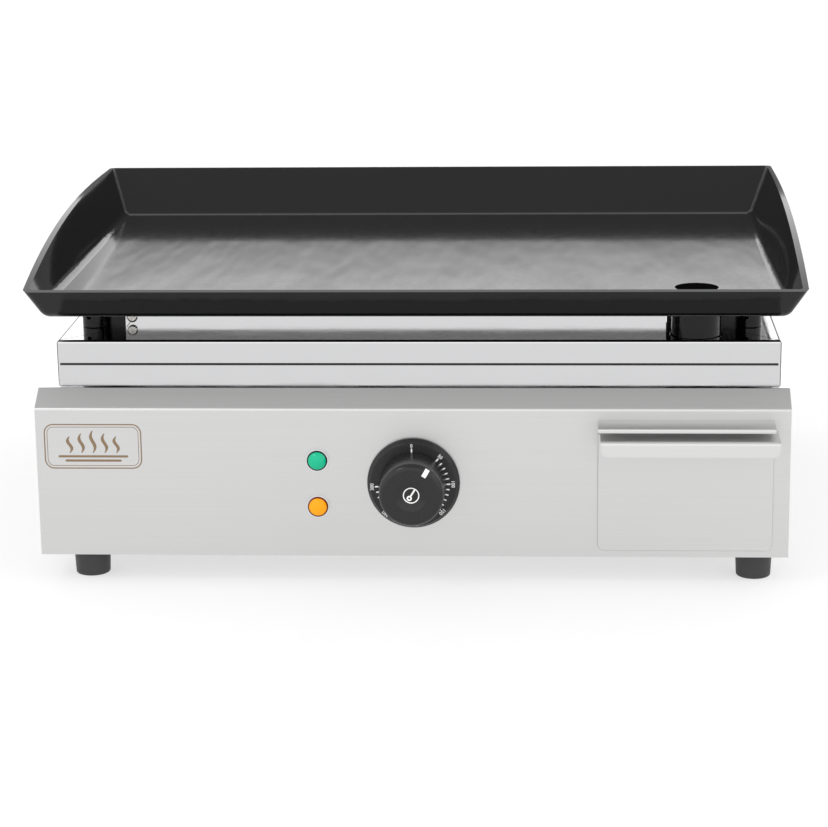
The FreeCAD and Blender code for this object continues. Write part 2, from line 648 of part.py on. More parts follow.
def thermostat_knob():
    """Round knob with a rounded shoulder, a dished centre and a D-shaped socket for the shaft."""
    low, high = BEZEL_THICK + 0.5, KNOB_PROUD
    body = revolved([(low, 0), (low, KNOB_RADIUS), (low + 2.5, KNOB_RADIUS), (high, KNOB_RADIUS - 1.3),
                     (high, 0)])
    shoulder = [e for e in body.Edges if e.Curve.TypeId == "Part::GeomCircle" and
                abs(e.BoundBox.YMin - behind(-high)) < 0.01]
    body = body.makeFillet(4.5, shoulder)
    ball = (DISH_RADIUS ** 2 + DISH_DEPTH ** 2) / (2 * DISH_DEPTH)
    dish = Part.makeSphere(ball, V(KNOB_X, behind(-high - ball + DISH_DEPTH), KNOB_Z))
    body = body.cut(dish)
    dish_edge = [e for e in body.Edges if e.Curve.TypeId == "Part::GeomCircle" and
                 abs(e.Curve.Radius - DISH_RADIUS) < 0.05]
    body = body.makeFillet(0.8, dish_edge)
    hollow = revolved([(low - 1, 0), (low - 1, KNOB_RADIUS - 2.5), (low + 16, KNOB_RADIUS - 3.5),
                       (low + 16, 0)])
    hub = revolved([(low + 1, 0), (low + 1, 6.5), (high - 4, 6.5), (high - 4, 0)])
    ribs = [block((KNOB_X - 22, KNOB_X + 22), (-low - 15, -low - 9), (KNOB_Z - 1, KNOB_Z + 1)),
            block((KNOB_X - 1, KNOB_X + 1), (-low - 15, -low - 9), (KNOB_Z - 22, KNOB_Z + 22))]
    socket = bar(SHAFT_RADIUS + 0.01, KNOB_X, (-26.2, 0), KNOB_Z)
    flat = block((KNOB_X - 5, KNOB_X + 5), (-26.2, -10.2), (KNOB_Z + 1.82, KNOB_Z + 5))
    return body.cut(hollow).fuse([hub] + ribs).cut(socket.cut(flat)).removeSplitter()


def thermostat_screws():
    seats = [V(KNOB_X + side * THERMOSTAT_SCREW_X, behind(0), KNOB_Z) for side in (-1, 1)]
    return [screw(2.0, 3.6, 2.2, 9, seat, V(0, -1, 0)) for seat in seats]


def thermostat_bulb():
    """Sensing bulb laid against the pan between the two elements."""
    return Part.makeCylinder(3.0, 120, V(40, behind(BULB_DEPTH), PAN_Z - 3.1), V(1, 0, 0))


def capillary_tube():
    """Thin tube from the bulb over the shield's edge, down the slot and forward to the thermostat."""
    y = behind(BULB_DEPTH)
    route = [V(160, y, PAN_Z - 3.1), V(205, y, PAN_Z - 3.1), V(205, y, 124), V(60, y - 60, 118),
             V(60, behind(70), 112), V(KNOB_X + 5, behind(52), KNOB_Z + 14),
             V(KNOB_X + 5, behind(SHEET + 26), KNOB_Z + 14)]
    return bent_tube(route, 1.0, 7.0)


# ---------------------------------------------------------------- pilot lamps
def lamp_body(height):
    """Rim in front of the panel, body through it, two solder tags behind."""
    z = CASE_BOTTOM + height
    body = bar(LAMP_BODY_RADIUS, LAMP_X, (0, 24), z).fuse(bar(LAMP_RIM_RADIUS, LAMP_X, (-1.8, 0), z))
    body = body.cut(bar(LENS_RADIUS + 0.1, LAMP_X, (-3, -0.8), z))
    tags = [block((LAMP_X + x - 0.4, LAMP_X + x + 0.4), (23, 31), (z - 2, z + 2)) for x in (-3, 3)]
    return body.fuse(tags)


def lamp_lens(height):
    """Domed lens that sits in the rim."""
    z = CASE_BOTTOM + height
    ball = (LENS_RADIUS ** 2 + LENS_DOME ** 2) / (2 * LENS_DOME)
    dome = Part.makeSphere(ball, V(LAMP_X, behind(-1.4 - LENS_DOME + ball), z))
    return bar(LENS_RADIUS, LAMP_X, (-7, -0.82), z).common(dome)


def lamp_nut(height):
    centre = V(LAMP_X, behind(SHEET), CASE_BOTTOM + height)
    return nut(15, 4, LAMP_BODY_RADIUS + 0.02, centre, V(0, 1, 0))


# ---------------------------------------------------------------- limiter, terminals and rear fittings
def limiter_body():
    """Snap-action limiter inside the rear panel; its threaded bush comes out through the panel."""
    inner = CASE_DEPTH - SHEET
    can = bar(9.0, LIMITER_X, (inner - 16, inner), LIMITER_Z).fuse(
        bar(5.0, LIMITER_X, (inner - 1, CASE_DEPTH + 6), LIMITER_Z))
    tabs = [block((LIMITER_X + x - 3, LIMITER_X + x + 3), (inner - 24, inner - 15),
                  (LIMITER_Z - 0.4, LIMITER_Z + 0.4)) for x in (-5, 5)]
    return can.fuse(tabs).cut(bar(3.3, LIMITER_X, (inner - 4, CASE_DEPTH + 8), LIMITER_Z))


def reset_button():
    button = bar(3.0, LIMITER_X, (CASE_DEPTH - 1.8, CASE_DEPTH + 9), LIMITER_Z)
    return button.makeFillet(0.8, [e for e in button.Edges if e.BoundBox.YMin > behind(CASE_DEPTH + 8.9)])


def terminal_block():
    """Three-way porcelain block on the base plate."""
    low = CASE_BOTTOM + SHEET
    body = block((-215, -155), (380, 408), (low, low + 24))
    body = body.makeFillet(1.5, [e for e in body.Edges if e.BoundBox.ZLength > 20])
    cuts = []
    for way in range(3):
        x = -204 + way * 19
        cuts.append(bar(3.6, x, (370, 420), low + 11))
        cuts += [post(3.0, x, depth, (low + 11, low + 30)) for depth in (387, 401)]
    return body.cut(cuts)


def terminal_screws():
    low = CASE_BOTTOM + SHEET
    return [post(2.7, -204 + way * 19, depth, (low + 15, low + 22))
            for way in range(3) for depth in (387, 401)]


def gland_parts():
    """Cable gland in the rear panel: body, lock nut, rubber seal and dome nut."""
    axis = V(0, 1, 0)
    inner = CASE_DEPTH - SHEET
    body = bar(10.0, GLAND_X, (inner - 10, CASE_DEPTH + 1), GLAND_Z)
    body = body.fuse(hexagon(24, 5, V(GLAND_X, behind(CASE_DEPTH), GLAND_Z), axis))
    body = body.fuse(bar(9.0, GLAND_X, (CASE_DEPTH + 5, CASE_DEPTH + 13), GLAND_Z))
    body = body.cut(bar(7.0, GLAND_X, (inner - 12, CASE_DEPTH + 20), GLAND_Z))
    lock = nut(26, 4.5, 10.02, V(GLAND_X, behind(inner - 4.5), GLAND_Z), axis)
    seal = bar(6.98, GLAND_X, (CASE_DEPTH - 4, CASE_DEPTH + 14), GLAND_Z)
    seal = seal.cut(bar(4.5, GLAND_X, (CASE_DEPTH - 5, CASE_DEPTH + 15), GLAND_Z))
    dome = hexagon(23, 8, V(GLAND_X, behind(CASE_DEPTH + 5.2), GLAND_Z), axis)
    dome = dome.fuse(Part.makeCone(10.6, 7.6, 6, V(GLAND_X, behind(CASE_DEPTH + 13.2), GLAND_Z), axis))
    dome = dome.cut(bar(9.02, GLAND_X, (CASE_DEPTH + 5, CASE_DEPTH + 13.1), GLAND_Z))
    dome = dome.cut(bar(7.0, GLAND_X, (CASE_DEPTH + 12, CASE_DEPTH + 14.1), GLAND_Z))
    dome = dome.cut(bar(5.2, GLAND_X, (CASE_DEPTH + 12, CASE_DEPTH + 20), GLAND_Z))
    return {"cable_gland_body": body, "gland_lock_nut": lock, "gland_seal": seal, "gland_dome_nut": dome}


def earth_parts():
    """Stud for an equipotential lead, clamped in the rear panel by a nut on each side."""
    axis = V(0, 1, 0)
    inner = CASE_DEPTH - SHEET
    start, end = [CASE_DEPTH + reach for reach in EARTH_FREE]
    shank = bar(EARTH_SHANK, EARTH_X, (inner - 8, start), EARTH_Z)
    stud = shank.fuse(bar(STUD_RADIUS, EARTH_X, (start, end), EARTH_Z))
    nuts = [nut(10, 5, EARTH_SHANK + 0.02, V(EARTH_X, behind(depth), EARTH_Z), axis) for depth in (inner - 5, CASE_DEPTH)]
    return stud, nuts


def wiring():
    """Insulated leads: gland to terminal block, block to thermostat, block and thermostat to the elements."""
    level = CASE_BOTTOM + SHEET + 11
    leads = []
    for way in range(3):
        x = -204 + way * 19
        start = V(x, behind(409), level)
        leads.append([start, V(x, behind(428), level), V(GLAND_X + (way - 1) * 3.4, behind(434), GLAND_Z),
                      V(GLAND_X + (way - 1) * 3.4, behind(452), GLAND_Z)])
    for way, x in ((0, KNOB_X - 15), (1, KNOB_X + 15)):
        leads.append([V(-204 + way * 19, behind(379), level), V(-204 + way * 19, behind(330), level),
                      V(x, behind(110 + 20 * way), level + 30), V(x, behind(40), KNOB_Z - 9.4 + 0.2),
                      V(x, behind(SHEET + 35), KNOB_Z - 9.4 + 0.2)])
    return [bent_tube(route, 1.5, 6.0) for route in leads]


# ---------------------------------------------------------------- drip drawer
def drawer_hood():
    """Narrow folded canopy welded to the panel above the drawer."""
    outline = [(0.0, HOOD_TOP), (-HOOD_PROUD, HOOD_TOP - 1.2), (-HOOD_PROUD, HOOD_TOP - 4.2)]
    hood = folded_sheet(outline[::-1], SHEET, (DRAWER_LEFT, DRAWER_RIGHT - 0.5), 1.6)
    return hood.cut(block((DRAWER_LEFT - 1, DRAWER_RIGHT + 1), (0, 3), (HOOD_TOP - 5, HOOD_TOP + 5)))


def drawer_front():
    """Plate with rounded lower corners, proud of the panel, and a rolled top edge behind the pull."""
    back = -DRAWER_GAP
    plate = block((DRAWER_LEFT, DRAWER_RIGHT), (back - 1.4, back), (DRAWER_BOTTOM, DRAWER_SHELF - 1.4))
    lower = [e for e in plate.Edges if e.BoundBox.YLength > 1 and e.BoundBox.ZMax < DRAWER_BOTTOM + 1]
    plate = plate.makeFillet(5.0, lower)
    rim = [e for e in plate.Edges if abs(e.BoundBox.YMax - behind(back - 1.4)) < 1e-3 and
           e.BoundBox.ZMin < DRAWER_SHELF - 5]
    return plate.makeFillet(0.8, rim)


def drawer_handle():
    """Pull: a shelf that folds down into a lip with rounded lower corners."""
    back = -DRAWER_GAP - 1.4
    front = -PULL_PROUD
    path = [(front, DRAWER_SHELF - PULL_DROP), (front, DRAWER_SHELF), (back + 1.4, DRAWER_SHELF)]
    pull = folded_sheet(path, 1.4, (DRAWER_LEFT + 1.4, DRAWER_RIGHT + 2.4), 2.4)
    corners = [e for e in pull.Edges if e.BoundBox.YLength > 1.2 and e.BoundBox.YLength < 1.6 and
               e.BoundBox.ZMax < DRAWER_SHELF - PULL_DROP + 0.1 and e.BoundBox.XLength < 0.1]
    return pull.makeFillet(5.5, corners)


def drawer_tray():
    """Open folded box that catches the fat."""
    left, right = DRAWER_HOLE[0][0] + 1.2, DRAWER_HOLE[0][1] - 1.2
    low = DRAWER_HOLE[1][0] + 1.2
    box = block((left, right), (-DRAWER_GAP, DRAWER_DEPTH), (low, TRAY_TOP))
    box = box.makeFillet(3.0, [e for e in box.Edges if abs(e.BoundBox.ZMax - low) < 0.01 or
                               (e.BoundBox.ZLength > 20 and e.BoundBox.YMin > behind(10))])
    hollow = block((left + TRAY_SHEET, right - TRAY_SHEET),
                   (-DRAWER_GAP + TRAY_SHEET, DRAWER_DEPTH - TRAY_SHEET),
                   (low + TRAY_SHEET, TRAY_TOP + 5))
    floor = low + TRAY_SHEET
    rounded = [e for e in hollow.Edges if abs(e.BoundBox.ZMax - floor) < 0.01 or e.BoundBox.ZLength > 20]
    return box.cut(hollow.makeFillet(2.0, rounded))


def drawer_runner(side):
    """Angle on the base plate that carries and guides one side of the tray."""
    left, right = DRAWER_HOLE[0][0] + 1.2, DRAWER_HOLE[0][1] - 1.2
    low = DRAWER_HOLE[1][0] + 1.2
    edge = left if side < 0 else right
    near, far = sorted((edge + side * 0.5, edge + side * 2.0))
    wall = block((near, far), (8, DRAWER_DEPTH + 30), (CASE_BOTTOM + SHEET, low + 28))
    near, far = sorted((edge + side * 0.5, edge - side * 12))
    shelf = block((near, far), (8, DRAWER_DEPTH + 30), (low - 1.9, low - 0.4))
    near, far = sorted((edge + side * 2.0, edge + side * 10))
    foot_flange = block((near, far), (8, DRAWER_DEPTH + 30), (CASE_BOTTOM + SHEET, CASE_BOTTOM + 2 * SHEET))
    return wall.fuse([shelf, foot_flange])


# ---------------------------------------------------------------- assembly
def build():
    os.makedirs("parts", exist_ok=True)
    up = V(0, 0, 1)
    save("front_panel", front_panel())
    save("left_side_panel", side_panel(-1))
    save("right_side_panel", side_panel(1))
    save("rear_panel", rear_panel())
    save("base_plate", base_plate())
    save("top_deck", top_deck())
    for name, strip in plinth().items():
        save(name, strip)
    save("case_screws", *[screw(1.5, 3.2, 1.8, 5, seat, axis) for seat, axis in case_screw_places()])

    names = ["foot_front_left", "foot_front_right", "foot_rear_left", "foot_rear_right"]
    for name, (x, depth) in zip(names, foot_places()):
        save(name, foot(x, depth))
    save("foot_washers", *[foot_washer(x, depth) for x, depth in foot_places()])
    save("foot_screws", *[foot_screw(x, depth) for x, depth in foot_places()])

    save("griddle_pan", griddle_pan())
    save("drain_tube", drain_tube())
    save("pan_legs", *[pan_leg(x, depth) for x, depth in leg_places()])
    save("leg_studs", *[post(STUD_RADIUS, x, depth, (DECK_Z - 12, PAN_Z + 6.5))
                        for x, depth in leg_places()])
    save("left_pan_bracket", pan_bracket(-1, SHIELD_LEFT - 0.7))
    save("right_pan_bracket", pan_bracket(1, SHIELD_RIGHT + 0.7))

    save("front_heating_element", heating_element(0))
    save("rear_heating_element", heating_element(4))
    save("element_clamps", *[element_clamp(x) for x in CLAMP_XS])
    save("clamp_studs", *[post(STUD_RADIUS, x, depth, (CLAMP_Z - 6.5, PAN_Z + 6.5))
                          for x, depth in clamp_stud_places()])
    nuts = [nut(10, 5, 3.02, V(x, behind(depth), CLAMP_Z - 5), up) for x, depth in clamp_stud_places()]
    nuts += [nut(10, 5, 3.02, V(x, behind(depth), DECK_Z - SHEET - 5), up) for x, depth in leg_places()]
    save("stud_nuts", *nuts)
    save("heat_shield", heat_shield())
    save("insulation_pad", insulation_pad())
    save("shield_screws", *[screw(2.0, 4.1, 2.4, 5, seat, axis) for seat, axis in shield_screw_places()])

    save("thermostat_body", thermostat_body())
    save("thermostat_shaft", thermostat_shaft())
    save("thermostat_knob", thermostat_knob())
    save("dial_bezel", dial_bezel())
    save("thermostat_screws", *thermostat_screws())
    save("thermostat_bulb", thermostat_bulb())
    save("capillary_tube", capillary_tube())

    for name, height in LAMP_HEIGHTS.items():
        save(name, lamp_lens(height))
    save("lamp_bodies", *[lamp_body(height) for height in LAMP_HEIGHTS.values()])
    save("lamp_nuts", *[lamp_nut(height) for height in LAMP_HEIGHTS.values()])

    save("limiter_body", limiter_body())
    save("limiter_nut", nut(14, 3, 5.02, V(LIMITER_X, behind(CASE_DEPTH), LIMITER_Z), V(0, 1, 0)))
    save("reset_button", reset_button())
    save("terminal_block", terminal_block())
    save("terminal_screws", *terminal_screws())
    for name, shape in gland_parts().items():
        save(name, shape)
    stud, stud_nuts = earth_parts()
    save("earth_stud", stud)
    save("earth_nuts", *stud_nuts)
    save("wiring", *wiring())

    save("drawer_hood", drawer_hood())
    save("drawer_front", drawer_front())
    save("drawer_handle", drawer_handle())
    save("drawer_tray", drawer_tray())
    save("drawer_runners", drawer_runner(-1), drawer_runner(1))


build()
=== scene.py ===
"""Looks of the counter-top flat top griddle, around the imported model.

Metres, +Z up, the front faces -Y: the same frame as the model.  Every place is worked out from the boxes
of the model's own nodes.
"""
import json
import math

import bmesh
import bpy
from mathutils import Matrix, Vector


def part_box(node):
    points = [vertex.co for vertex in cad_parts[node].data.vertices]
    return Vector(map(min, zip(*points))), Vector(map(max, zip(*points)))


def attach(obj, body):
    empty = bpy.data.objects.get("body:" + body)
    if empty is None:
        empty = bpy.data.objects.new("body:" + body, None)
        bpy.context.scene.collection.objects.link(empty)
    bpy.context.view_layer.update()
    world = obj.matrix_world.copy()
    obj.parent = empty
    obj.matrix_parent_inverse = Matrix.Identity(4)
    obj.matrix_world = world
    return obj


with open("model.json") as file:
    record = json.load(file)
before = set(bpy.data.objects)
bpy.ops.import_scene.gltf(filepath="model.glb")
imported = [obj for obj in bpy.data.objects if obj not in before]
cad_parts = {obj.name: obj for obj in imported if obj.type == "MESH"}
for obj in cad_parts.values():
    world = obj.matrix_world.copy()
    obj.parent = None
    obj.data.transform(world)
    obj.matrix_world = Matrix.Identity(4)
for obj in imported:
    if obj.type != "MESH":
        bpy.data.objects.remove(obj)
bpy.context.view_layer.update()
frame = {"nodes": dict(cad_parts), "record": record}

MM = 0.001


# ---------------------------------------------------------------- places from the model
def middle(node):
    """Middle of a node's box."""
    low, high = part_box(node)
    return (low + high) / 2


PANEL_LOW, PANEL_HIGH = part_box("front_panel")
BEZEL_LOW, BEZEL_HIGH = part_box("dial_bezel")
KNOB_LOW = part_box("thermostat_knob")[0]
DIAL = middle("dial_bezel")
KNOB = middle("thermostat_knob")
BEZEL_RADIUS = (BEZEL_HIGH.x - BEZEL_LOW.x) / 2


# ---------------------------------------------------------------- node materials
class Finish:
    """A procedural material; its textures run in the object's own metres."""

    def __init__(self, name, colour, metallic=0.0, roughness=0.5, **uniform):
        self.material = bpy.data.materials.new(name)
        self.material.use_nodes = True
        self.tree = self.material.node_tree
        self.shader = self.tree.nodes["Principled BSDF"]
        self.place = self.add("ShaderNodeTexCoord").outputs["Object"]
        self.colour = colour
        self.set("Base Color", (*colour, 1.0))
        self.set("Metallic", metallic)
        self.set("Roughness", roughness)
        for socket, value in uniform.items():
            self.set(socket.replace("_", " "), value)

    def add(self, kind, **fields):
        node = self.tree.nodes.new(kind)
        for field, value in fields.items():
            setattr(node, field, value)
        return node

    def join(self, source, target):
        self.tree.links.new(source, target)

    def set(self, socket, value):
        self.shader.inputs[socket].default_value = value

    def stretched(self, stretch):
        """The object's coordinates, scaled along each axis."""
        node = self.add("ShaderNodeMapping")
        node.inputs["Scale"].default_value = stretch
        self.join(self.place, node.inputs["Vector"])
        return node.outputs["Vector"]

    def noise(self, scale, stretch=(1, 1, 1), detail=3.0, roughness=0.55):
        """Noise with features about 1/scale metres wide, shorter along a stretched axis."""
        node = self.add("ShaderNodeTexNoise")
        node.inputs["Scale"].default_value = scale
        node.inputs["Detail"].default_value = detail
        node.inputs["Roughness"].default_value = roughness
        self.join(self.stretched(stretch), node.inputs["Vector"])
        return node.outputs["Fac"]

    def cells(self, scale):
        node = self.add("ShaderNodeTexVoronoi")
        node.inputs["Scale"].default_value = scale
        self.join(self.place, node.inputs["Vector"])
        return node.outputs["Distance"]

    def spread(self, factor, low, high, start=0.3, stop=0.7):
        """Maps factor from start..stop to low..high."""
        node = self.add("ShaderNodeMapRange")
        for socket, value in (("From Min", start), ("From Max", stop), ("To Min", low), ("To Max", high)):
            node.inputs[socket].default_value = value
        self.join(factor, node.inputs["Value"])
        return node.outputs["Result"]

    def radius_from(self, centre, axis="y"):
        """Distance from a line through centre, along an axis."""
        offset = self.add("ShaderNodeVectorMath", operation="SUBTRACT")
        offset.inputs[1].default_value = centre
        self.join(self.place, offset.inputs[0])
        flat = self.add("ShaderNodeVectorMath", operation="MULTIPLY")
        flat.inputs[1].default_value = [0.0 if name == axis else 1.0 for name in "xyz"]
        self.join(offset.outputs["Vector"], flat.inputs[0])
        length = self.add("ShaderNodeVectorMath", operation="LENGTH")
        self.join(flat.outputs["Vector"], length.inputs[0])
        return length.outputs["Value"]

    def stripe(self, centre, along, reach, half_width):
        """1 on a straight band in the XZ plane, else 0; reach is its (start, end) from the centre."""
        offset = self.add("ShaderNodeVectorMath", operation="SUBTRACT")
        offset.inputs[1].default_value = centre
        self.join(self.place, offset.inputs[0])
        both = self.add("ShaderNodeMath", operation="MULTIPLY")
        bands = ((along, sum(reach) / 2, (reach[1] - reach[0]) / 2),
                 ((along[2], 0.0, -along[0]), 0.0, half_width))
        for i, (direction, target, slack) in enumerate(bands):
            project = self.add("ShaderNodeVectorMath", operation="DOT_PRODUCT")
            project.inputs[1].default_value = direction
            self.join(offset.outputs["Vector"], project.inputs[0])
            test = self.add("ShaderNodeMath", operation="COMPARE")
            test.inputs[1].default_value = target
            test.inputs[2].default_value = slack
            self.join(project.outputs["Value"], test.inputs[0])
            self.join(test.outputs["Value"], both.inputs[i])
        return both.outputs["Value"]

    def tint(self, factor, first, second):
        """Colours the surface between two colours."""
        node = self.add("ShaderNodeMix", data_type="RGBA")
        self.join(factor, node.inputs["Factor"])
        for socket in node.inputs:
            if socket.type == "RGBA":
                socket.default_value = (*(first if socket.name == "A" else second), 1.0)
        self.join(next(out for out in node.outputs if out.type == "RGBA"), self.shader.inputs["Base Color"])
        return self

    def vary(self, factor, amount=0.06):
        """Lightens and darkens the finish's own colour by a part of itself."""
        low, high = [[channel * (1 + sign * amount) for channel in self.colour] for sign in (-1, 1)]
        return self.tint(factor, low, high)

    def rough(self, factor, low, high):
        self.join(self.spread(factor, low, high), self.shader.inputs["Roughness"])
        return self

    def relief(self, *layers):
        """Bumps, each (height, depth in metres, strength), laid on each other."""
        below = None
        for height, depth, strength in layers:
            node = self.add("ShaderNodeBump")
            node.inputs["Distance"].default_value = depth
            node.inputs["Strength"].default_value = strength
            self.join(height, node.inputs["Height"])
            if below is not None:
                self.join(below, node.inputs["Normal"])
            below = node.outputs["Normal"]
        self.join(below, self.shader.inputs["Normal"])
        return self


ALONG_X = (6.0, 1500.0, 1500.0)
ALONG_Y = (1500.0, 6.0, 1500.0)
FRONT_GRAIN = (4.0, 900.0, 900.0)


def satin_steel(name, grain, colour=(0.60, 0.60, 0.596), roughness=0.34):
    """Fine satin stainless sheet; the grain runs along one axis."""
    finish = Finish(name, colour, 1.0, roughness)
    lines = finish.noise(1.0, grain, 4.0, 0.6)
    clouds = finish.noise(5.0, detail=2.0)
    finish.vary(lines, 0.035)
    finish.rough(clouds, roughness - 0.03, roughness + 0.05)
    finish.relief((lines, 0.00002, 0.25), (clouds, 0.0006, 0.12))
    return finish.material


def polished_steel(name, colour=(0.62, 0.62, 0.625), roughness=0.045):
    """Mirror stainless sheet, very slightly wavy, with faint wiping marks."""
    finish = Finish(name, colour, 1.0, roughness)
    wipes = finish.noise(60.0, (0.35, 1.0, 1.0), 4.0)
    sheet = finish.noise(7.0, detail=1.0)
    finish.vary(wipes, 0.02)
    finish.rough(wipes, roughness - 0.02, roughness + 0.05)
    finish.relief((sheet, 0.0008, 0.10), (wipes, 0.00002, 0.15))
    return finish.material


def pan_coating(name="pan_coating"):
    """Smooth black non-stick coating on cast metal, with a slightly streaky, uneven surface."""
    black, speck = (0.0055, 0.0056, 0.006), (0.10, 0.10, 0.10)
    finish = Finish(name, black, 0.0, 0.09, IOR=1.40)
    peel = finish.noise(420.0, detail=2.0)
    streaks = finish.noise(28.0, (1.0, 0.22, 1.0), 2.0)
    finish.tint(finish.spread(finish.cells(70.0), 1.0, 0.0, 0.008, 0.014), black, speck)
    finish.rough(peel, 0.075, 0.12)
    finish.relief((streaks, 0.0009, 0.40), (peel, 0.00003, 0.2))
    return finish.material


def gloss_enamel(name="gloss_enamel"):
    finish = Finish(name, (0.004, 0.004, 0.0042), 0.0, 0.14, IOR=1.35)
    peel = finish.noise(420.0, detail=2.0)
    finish.vary(finish.noise(40.0), 0.25)
    finish.rough(peel, 0.11, 0.2)
    finish.relief((peel, 0.00006, 0.3))
    return finish.material


def plated_steel(name="plated_steel"):
    """Bright zinc plating with its faint straw cast."""
    finish = Finish(name, (0.66, 0.65, 0.62), 1.0, 0.3)
    blotches = finish.noise(260.0, detail=3.0)
    finish.tint(blotches, (0.60, 0.60, 0.60), (0.70, 0.67, 0.60))
    finish.rough(blotches, 0.22, 0.42)
    finish.relief((finish.noise(1800.0), 0.00003, 0.3))
    return finish.material


def heat_tinted_sheath(name="heat_tinted_sheath"):
    """Element sheath, blued and browned along its length by the heat."""
    finish = Finish(name, (0.2, 0.19, 0.18), 1.0, 0.45)
    heat = finish.spread(finish.noise(26.0, detail=3.0), 0.0, 1.0)
    finish.tint(heat, (0.16, 0.17, 0.21), (0.27, 0.21, 0.15))
    finish.rough(finish.noise(400.0), 0.35, 0.6)
    finish.relief((finish.noise(1500.0), 0.00005, 0.4))
    return finish.material


def pressed_fibre(name="pressed_fibre"):
    finish = Finish(name, (0.82, 0.81, 0.77), 0.0, 0.95)
    strands = finish.noise(300.0, (1.0, 1.0, 3.0), 6.0, 0.7)
    finish.tint(strands, (0.72, 0.70, 0.65), (0.88, 0.87, 0.84))
    finish.relief((strands, 0.0004, 0.8))
    return finish.material


def moulded_rubber(name="moulded_rubber", colour=(0.020, 0.020, 0.021)):
    finish = Finish(name, colour, 0.0, 0.55)
    bloom = finish.noise(180.0, detail=4.0)
    finish.tint(bloom, colour, [channel * 1.9 for channel in colour])
    finish.rough(bloom, 0.45, 0.68)
    finish.relief((finish.noise(2200.0), 0.00006, 0.5))
    return finish.material


def moulded_plastic(name, colour, roughness, grain_depth, **uniform):
    """Injection-moulded plastic: fine spark-eroded grain and slight sink marks."""
    finish = Finish(name, colour, 0.0, roughness, **uniform)
    grain = finish.noise(2400.0, detail=2.0)
    sinks = finish.noise(70.0, detail=2.0)
    finish.vary(sinks, 0.12)
    finish.rough(grain, roughness - 0.05, roughness + 0.07)
    finish.relief((sinks, 0.0002, 0.08), (grain, grain_depth, 0.4))
    return finish.material


POINTER_TURN = 32.0             # degrees clockwise from the top
POINTER_REACH = (16.8 * MM, 22.8 * MM)
POINTER_HALF = 1.7 * MM


def knob_plastic(name="knob_plastic"):
    """Glossy black moulding with a white pointer printed over its shoulder."""
    black = (0.013, 0.013, 0.0135)
    finish = Finish(name, black, 0.0, 0.22, IOR=1.4)
    grain = finish.noise(2400.0, detail=2.0)
    turn = math.radians(POINTER_TURN)
    mark = finish.stripe(KNOB, (math.sin(turn), 0.0, math.cos(turn)), POINTER_REACH, POINTER_HALF)
    finish.tint(mark, black, (0.86, 0.86, 0.85))
    finish.rough(grain, 0.17, 0.29)
    finish.relief((grain, 0.00001, 0.4))
    return finish.material


def drawn_copper(name="drawn_copper"):
    finish = Finish(name, (0.76, 0.42, 0.27), 1.0, 0.28)
    tarnish = finish.noise(90.0, detail=4.0)
    finish.tint(tarnish, (0.78, 0.45, 0.30), (0.50, 0.27, 0.17))
    finish.rough(tarnish, 0.2, 0.42)
    finish.relief((finish.noise(900.0), 0.00004, 0.3))
    return finish.material


def turned_brass(name="turned_brass"):
    finish = Finish(name, (0.76, 0.58, 0.28), 1.0, 0.25)
    rings = finish.noise(1.0, (200.0, 3500.0, 200.0), 2.0)
    finish.tint(finish.noise(150.0), (0.80, 0.62, 0.31), (0.62, 0.45, 0.20))
    finish.rough(rings, 0.18, 0.36)
    finish.relief((rings, 0.00003, 0.4))
    return finish.material


def glazed_porcelain(name="glazed_porcelain"):
    finish = Finish(name, (0.84, 0.83, 0.79), 0.0, 0.15, Coat_Weight=0.6, Coat_Roughness=0.05)
    body = finish.noise(120.0, detail=3.0)
    finish.tint(body, (0.80, 0.78, 0.73), (0.88, 0.87, 0.84))
    finish.rough(body, 0.1, 0.25)
    finish.relief((body, 0.0002, 0.15))
    return finish.material


def lamp_glass(node, centre_colour, edge_colour, glow):
    """Translucent lamp lens, darker where its turned-in edge is seen through its thickness."""
    low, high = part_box(node)
    radius = (high.x - low.x) / 2
    finish = Finish(node + "_glass", centre_colour, 0.0, 0.14, IOR=1.33)
    out = finish.radius_from(middle(node))
    rim = finish.spread(out, 0.0, 1.0, radius * 0.84, radius * 0.90)
    finish.tint(rim, centre_colour, edge_colour)
    finish.set("Emission Strength", glow)
    finish.set("Emission Color", (*centre_colour, 1.0))
    fade = finish.spread(out, glow, 0.0, radius * 0.78, radius * 0.90)
    finish.join(fade, finish.shader.inputs["Emission Strength"])
    finish.relief((finish.noise(260.0, (1.0, 1.0, 0.25), 2.0), 0.0005, 0.35))
    return finish.material


def printed_white(name="printed_white"):
    finish = Finish(name, (0.86, 0.86, 0.85), 0.0, 0.5)
    ink = finish.noise(1600.0, detail=3.0)
    finish.tint(ink, (0.78, 0.78, 0.77), (0.92, 0.92, 0.91))
    finish.relief((ink, 0.00003, 0.4))
    return finish.material


def etched_bronze(name="etched_bronze"):
    finish = Finish(name, (0.24, 0.16, 0.09), 0.6, 0.5)
    etch = finish.noise(900.0, detail=4.0)
    finish.tint(etch, (0.17, 0.115, 0.07), (0.33, 0.235, 0.15))
    finish.rough(etch, 0.4, 0.62)
    finish.relief((etch, 0.00005, 0.5))
    return finish.material


def silicone_insulation(name="silicone_insulation"):
    finish = Finish(name, (0.44, 0.11, 0.07), 0.0, 0.5)
    braid = finish.noise(700.0, detail=3.0)
    finish.tint(braid, (0.36, 0.08, 0.05), (0.50, 0.15, 0.10))
    finish.rough(braid, 0.42, 0.6)
    finish.relief((braid, 0.0001, 0.4))
    return finish.material


